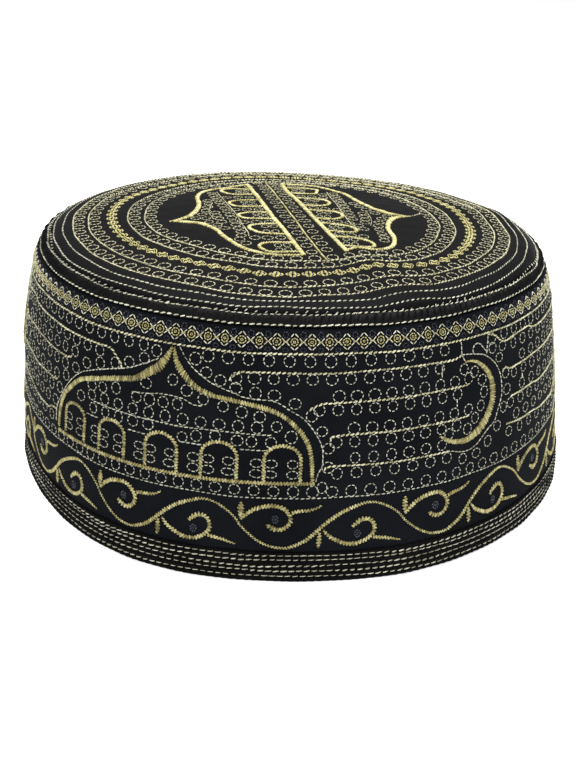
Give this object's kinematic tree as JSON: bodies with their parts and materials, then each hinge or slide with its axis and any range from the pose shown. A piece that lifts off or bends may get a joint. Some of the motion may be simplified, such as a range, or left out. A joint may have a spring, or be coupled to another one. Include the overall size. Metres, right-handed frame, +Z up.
{
  "type": "prayer cap",
  "caption": "Stiff round prayer cap with a gently domed crown, a gathered piping, a tall flared side and a quilted hem, for gold embroidery.",
  "frame": {"origin": "middle of the hem's circle, on the surface that the cap stands on", "axes": "+Z up through the crown, -Y towards the front of the cap"},
  "size_m": [0.1908, 0.188, 0.0811],
  "materials": {
    "crown_cloth": "dark satin weave",
    "piping_cloth": "black cloth, gathered",
    "band_cloth": "near-black navy weave",
    "hem_cloth": "black quilted cloth",
    "gold_thread": "glossy satin stitches",
    "pale_thread": "cream running stitches",
    "dark_thread": "slate-blue stitches"
  },
  "bodies": {
    "root": {"crown_panel": "crown_cloth", "crown_piping": "piping_cloth", "side_band": "band_cloth", "hem_band": "hem_cloth"}
  },
  "joints": []
}
